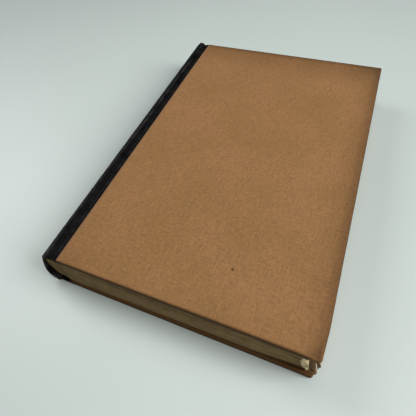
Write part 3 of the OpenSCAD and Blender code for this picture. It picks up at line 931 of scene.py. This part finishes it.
def flyleaf(name, front):
    """The free half of an endpaper, which lies on the leaves and climbs the hammered shoulder."""
    paper = Surface()
    seed = 4.0 if front else 8.0
    rows = []
    for y in steps(LEAF_TAIL, LEAF_HEAD, 2.2 * MM):
        row = []
        for x in steps(PEAK_X, FOOT_X, 0.4 * MM) + steps(FOOT_X, LEAF_FORE, 2.2 * MM)[1:]:
            climb = SHOULDER_RISE * hammered(x)
            wave = RIPPLE * (1 + uneven(x, y, 30 * MM, seed)) * smooth((x - FOOT_X) / (10 * MM))
            inside = min(LEAF_FORE - x, y - LEAF_TAIL, LEAF_HEAD - y)
            rim = smooth(1 - inside / (9 * MM))
            dusty = 1.0 if inside < 0.1 * MM else 0.0
            end = leaf_tail(x) if y == LEAF_TAIL else y
            row.append(paper.point((x, end, LEAVES_Z - PAPER_T - climb - wave), rim=rim, dusty=dusty))
        rows.append(row)
    paper.grid([list(reversed(row)) for row in rows])
    return paper.piece(name, ENDPAPER, PAPER_DRAWN, front)


def extruded(name, section, tail, head, material, thickness, front):
    """A sheet with one section all along the book. The section's ends may reach to different places."""
    sheet = Surface()
    rows = []
    for along in steps(0, 1, 4 * MM / (head[0] - tail[0])):
        row = []
        for i, (x, depth) in enumerate(section):
            t = i / (len(section) - 1)
            low = tail[0] + (tail[1] - tail[0]) * t
            high = head[0] + (head[1] - head[0]) * t
            place = (x, low + (high - low) * along, depth)
            row.append(sheet.point(place, rim=0.3, dusty=float(along in (0, 1))))
        rows.append(row)
    sheet.grid(rows)
    return sheet.piece(name, material, thickness, front)


def hinge_section():
    """The endpaper's fold, from the pastedown across the joint's foot and up the hammered shoulder. One
    straight face spans from its last turn to the peak, so that it bridges the joint of an open cover."""
    turn_x = PEAK_X + FOLD_FACE
    foot = LEAVES_Z - 2 * PAPER_T - 0.02 * MM
    return [(PASTE_LOW.x + 0.3 * MM, PASTE_HIGH.z),
            (PASTE_LOW.x, PASTE_HIGH.z - 0.03 * MM),
            (EDGE_X - 0.3 * MM, foot),
            (FOOT_X, foot),
            (turn_x, foot - SHOULDER_RISE * hammered(turn_x)),
            (PEAK_X, BLOCK_LOW.z - PAPER_T)]


def mull_section(crown_depth):
    """The mull from the middle of the back, out at the shoulder, over the joint and on to the board."""
    turn_x = MULL_TURN_X
    roof = JOINT_DEPTH + CLOTH_T + 0.08 * MM
    line = [p for p in round_arc(crown_depth, MULL_IN, MULL_STEPS) if p[0] < turn_x]
    line += [(turn_x, BLOCK_LOW.z - 0.35 * MM),
             (turn_x + 0.03 * MM, roof + 0.2 * MM),
             (turn_x + 0.2 * MM, roof)]
    line += [(x, roof) for x in steps(turn_x + 0.4 * MM, EDGE_X - 0.4 * MM, 0.3 * MM)]
    line += [(EDGE_X - 0.12 * MM, roof + 0.3 * MM),
             (EDGE_X - 0.08 * MM, BOARD_HIGH.z - 0.3 * MM),
             (BOARD_LOW.x, BOARD_HIGH.z + 0.08 * MM)]
    line += [(x, BOARD_HIGH.z + 0.08 * MM) for x in steps(BOARD_LOW.x, WING_HIGH.x, 5 * MM)[1:]]
    return line


# The damaged corner of the front cover

def loose_strip():
    """The turned-in cloth at the tail corner, come unglued. It hangs rolled up, with a torn hole. Its inner
    turns are painted near black, a painted shade for the inside of the roll.
    """
    cloth = Surface()
    high = BOOK_TOP - BOARD_HIGH.z + 0.8 * MM
    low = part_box("front_side_cloth")[0].z - 1.2 * MM
    rows = []
    for z in steps(high, low, 0.4 * MM):
        down = (high - z) / (high - low)
        centre_x = LEAF_FORE - 0.93 * MM + (high - z) * math.tan(LOOSE_LEAN)
        wide = LOOSE_R * (0.69 + 0.31 * smooth(down / 0.8))
        centre_y = -HEAD_Y + wide + 0.1 * MM
        row = []
        for share in steps(0, 1, 1 / 60):
            turn = math.radians(-130 + 478 * share + 6 * math.sin(7 * down))
            wavy = 1 + 0.06 * uneven(share, z / MM, 3, 3.3) * down
            r = wide * wavy * (0.45 + 0.55 * smooth(share / 0.6))
            ragged = 0.9 * MM * (uneven(share, 0, 0.3, 9.7) + 0.4) * smooth((down - 0.8) / 0.2)
            place = (centre_x + r * math.cos(turn), centre_y + r * math.sin(turn), z + ragged)
            notes = {"wear": 0.3 - 0.1 * down, "rim": 1.0, "fray": 0.0, "soil": 0.3 * (1 - down)}
            # Painted shade: the inner turns of the roll are painted near black
            grime = smooth((0.62 - share) / 0.05)
            row.append(cloth.point(place, cut=(share * 3 * MM, z, 0), grime=grime, **notes))
        rows.append(row)

    # The hole leans, so its middle moves round the roll on the way down
    hole_round, hole_down = 0.841, 0.66
    half_wide, half_high = 0.048, 0.15
    lean = 0.54
    for k, (top, bottom) in enumerate(zip(rows, rows[1:])):
        below = k / (len(rows) - 2) - hole_down
        for i in range(len(top) - 1):
            across = i / (len(top) - 2) - hole_round - lean * below
            if (across / half_wide) ** 2 + (below / half_high) ** 2 > 1:
                cloth.face([top[i + 1], bottom[i + 1], bottom[i], top[i]])
    return cloth.piece("front_loose_strip", TAN, LOOSE_CLOTH_DRAWN)


def torn_tab():
    """The other half of the torn turn-in, which tapers to a frayed point."""
    cloth = Surface()
    high = BOOK_TOP - BOARD_HIGH.z
    rows = []
    for z in steps(high, high - TAB_LENGTH, 0.35 * MM):
        down = (high - z) / TAB_LENGTH
        left = FORE_X - (2.6 - 2.1 * down) * MM + 0.12 * MM * uneven(z, 0, 0.9 * MM, 2.2)
        inset = 0.95 - 0.9 * smooth(down / 0.5) + 0.5 * smooth((down - 0.55) / 0.1) - 0.2 * down
        right = FORE_X - inset * MM
        row = []
        for t in steps(0, 1, 0.2):
            bend = 0.25 * MM * math.sin(2.4 * t + 3 * down)
            place = (left + (right - left) * t, -HEAD_Y + 0.45 * MM + bend * (1 - 0.5 * down), z)
            row.append(cloth.point(place, wear=0.4, rim=1.0, fray=0.0, soil=0.1, cut=(t * MM, z, 0)))
        rows.append(row)
    cloth.grid(rows)
    return cloth.piece("front_torn_tab", TAN, LOOSE_CLOTH_DRAWN)


def loose_threads():
    """Threads that the torn edges have let go, each a thin bent strand."""
    rng = random.Random(21)
    strands = Surface()
    strand_r = 0.07 * MM
    for _ in range(11):
        x = LEAF_FORE + rng.uniform(-1.2, 3.2) * MM
        place = Vector((x, -HEAD_Y + rng.uniform(0.15, 0.5) * MM, BOOK_TOP - COVER_T + 0.7 * MM))
        way = Vector((rng.uniform(-0.5, 0.5), rng.uniform(-0.10, 0.15), -1)).normalized()
        rows = []
        for _ in range(rng.randint(5, 9)):
            side = way.cross(Vector((0, 1, 0))).normalized() * strand_r
            over = way.cross(side).normalized() * strand_r
            notes = {"wear": 0.4, "rim": 1.0, "fray": 0.4, "soil": 0.2, "cut": tuple(place)}
            ring = [strands.point(place + corner, **notes) for corner in (side, over, -side, -over)]
            rows.append(ring + ring[:1])
            place = place + way * 0.42 * MM
            place.y = max(place.y, -HEAD_Y + 0.1 * MM)
            place.x = min(place.x, FORE_X - 0.1 * MM)
            way = (way + Vector((rng.gauss(0, 0.25), rng.gauss(0, 0.08), 0))).normalized()
        strands.grid(rows)
        strands.face(list(reversed(rows[0][:-1])))
        strands.face(rows[-1][:-1])
    return strands.piece("front_loose_threads", TAN)


# Building

front_side = side_cloth("front_tan_cloth", True)
back_side = side_cloth("back_tan_cloth", False)
front_black = black_cloth("front_black_cloth", True)
back_black = black_cloth("back_black_cloth", False)
torn_pieces = (loose_strip(), torn_tab(), loose_threads())
leaves = leaf_block()
pulp = bruised_board()
card = card_strip()

# The endpapers and the mull of both covers
for cover, body, is_front in (("front", "front_cover", True), ("back", "back_cover", False)):
    glued = pastedown(cover + "_pastedown_paper", is_front)
    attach(glued, body)
    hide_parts(cover + "_pastedown")
    free = flyleaf(cover + "_flyleaf_paper", is_front)
    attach(free, "block")
    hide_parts(cover + "_flyleaf")
    tails = (PASTE_LOW.y, LEAF_TAIL)
    heads = (PASTE_HIGH.y, LEAF_HEAD)
    fold = extruded(cover + "_endpaper_fold", hinge_section(), tails, heads,
                    ENDPAPER, PAPER_DRAWN, is_front)
    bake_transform(fold)
    section = mull_section(depth_of_crown(is_front))
    tails = (MULL_LOW.y, MULL_LOW.y)
    heads = (MULL_HIGH.y, MULL_HIGH.y)
    gauze = extruded(cover + "_mull_half", section, tails, heads, MULL, MULL_DRAWN, is_front)
    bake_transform(gauze)
    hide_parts("mull", cover + "_mull_wing")

# The tan cloth and what hangs from it
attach(front_side, "front_cover")
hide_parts("front_side_cloth")
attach(back_side, "back_cover")
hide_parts("back_side_cloth")
for torn_piece in torn_pieces:
    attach(torn_piece, "front_cover")

# The front board, the spine's card, the black cloth and the leaves
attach(pulp, "front_cover")
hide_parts("front_board")
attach(card, "block")
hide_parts("spine_card")
for cloth, cover, body in ((front_black, "front", "front_cover"), (back_black, "back", "back_cover")):
    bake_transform(cloth)
    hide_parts("spine_cloth", cover + "_joint_cloth")
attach(leaves, "block")
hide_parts("text_block")

# The two nodes that are shown in the shape that the frame gives
for node, material in {"back_board": GREY_BOARD, "spine_lining": KRAFT}.items():
    kept = frame["nodes"][node]
    kept.data.materials.clear()
    kept.data.materials.append(material)


# The floor, the light and the camera

def floor():
    """A plain pale table top, with the faint unevenness and sheen of painted board, and a painted falloff
    of light that leaves it paler near the book and darker away from it.
    """
    material, tree, surface = start_material("pale_table", Roughness=0.45, Specular_IOR_Level=0.7)
    place = add(tree, "ShaderNodeTexCoord").outputs["Object"]
    cloud = add(tree, "ShaderNodeTexNoise", inputs={
        "Vector": place, "Scale": 6.0, "Detail": 2.0}).outputs["Fac"]
    tone = add(tree, "ShaderNodeMix", {"data_type": "RGBA"}, {
        "Factor": cloud, 6: linear("#C3CEC9"), 7: linear("#CBD5D0")})
    # Painted light falloff: the table is drawn darker further from the book
    away = add(tree, "ShaderNodeVectorMath", {"operation": "LENGTH"}, {0: place}).outputs["Value"]
    level = add(tree, "ShaderNodeMapRange", {"interpolation_type": "SMOOTHSTEP"}, {
        "Value": away, "From Min": 0.10, "From Max": 0.45, "To Min": 1.0, "To Max": 0.78})
    shaded = add(tree, "ShaderNodeVectorMath", {"operation": "SCALE"}, {
        0: tone.outputs[2], "Scale": level.outputs[0]})
    tree.links.new(shaded.outputs[0], surface.inputs["Base Color"])
    half = 4.0
    corners = [(-half, -half, 0), (half, -half, 0), (half, half, 0), (-half, half, 0)]
    mesh = bpy.data.meshes.new("table_top")
    mesh.from_pydata(corners, [], [(0, 1, 2, 3)])
    mesh.materials.append(material)
    made = bpy.data.objects.new("table_top", mesh)
    made.location.z = -0.05 * MM
    bpy.context.scene.collection.objects.link(made)


def soft_light(name, place, size, watts):
    """A large square lamp that faces the book."""
    data = bpy.data.lights.new(name, "AREA")
    data.size = size
    data.energy = watts
    made = bpy.data.objects.new(name, data)
    made.location = place
    made.rotation_euler = (-Vector(place)).to_track_quat("-Z", "Y").to_euler()
    bpy.context.scene.collection.objects.link(made)


def sky(colour, strength):
    """Even light from all round, as in a pale room."""
    world = bpy.data.worlds.new("pale_room")
    world.use_nodes = True
    tree = world.node_tree
    tree.nodes.clear()
    light = add(tree, "ShaderNodeBackground", inputs={"Color": linear(colour), "Strength": strength})
    add(tree, "ShaderNodeOutputWorld", inputs={"Surface": light.outputs[0]})
    bpy.context.scene.world = world


def camera():
    """The photo's camera: its place, its aim, its turn about its own axis, and its off-centre frame."""
    data = bpy.data.cameras.new("camera")
    data.lens = FOCAL_PX / FRAME_PX * data.sensor_width
    data.shift_x = (FRAME_PX / 2 - CENTRE_PX[0]) / FRAME_PX
    data.shift_y = (CENTRE_PX[1] - FRAME_PX / 2) / FRAME_PX
    data.clip_start = 0.01
    made = bpy.data.objects.new("camera", data)
    aim = (CAMERA_AIM - CAMERA_PLACE).to_track_quat("-Z", "Y").to_matrix().to_4x4()
    roll = Matrix.Rotation(math.radians(CAMERA_ROLL), 4, "Z")
    made.matrix_world = Matrix.Translation(CAMERA_PLACE) @ aim @ roll
    bpy.context.scene.collection.objects.link(made)
    bpy.context.scene.camera = made


floor()
soft_light("window", (1.55, 0.1, 1.15), 1.2, 33)
soft_light("far_window", (-1.42, 0.45, 1.34), 0.9, 13)
soft_light("ceiling", (0.3, -0.05, 1.95), 1.7, 15)
sky("#F2F6F4", 0.07)
camera()
bpy.context.scene.view_settings.view_transform = "Standard"
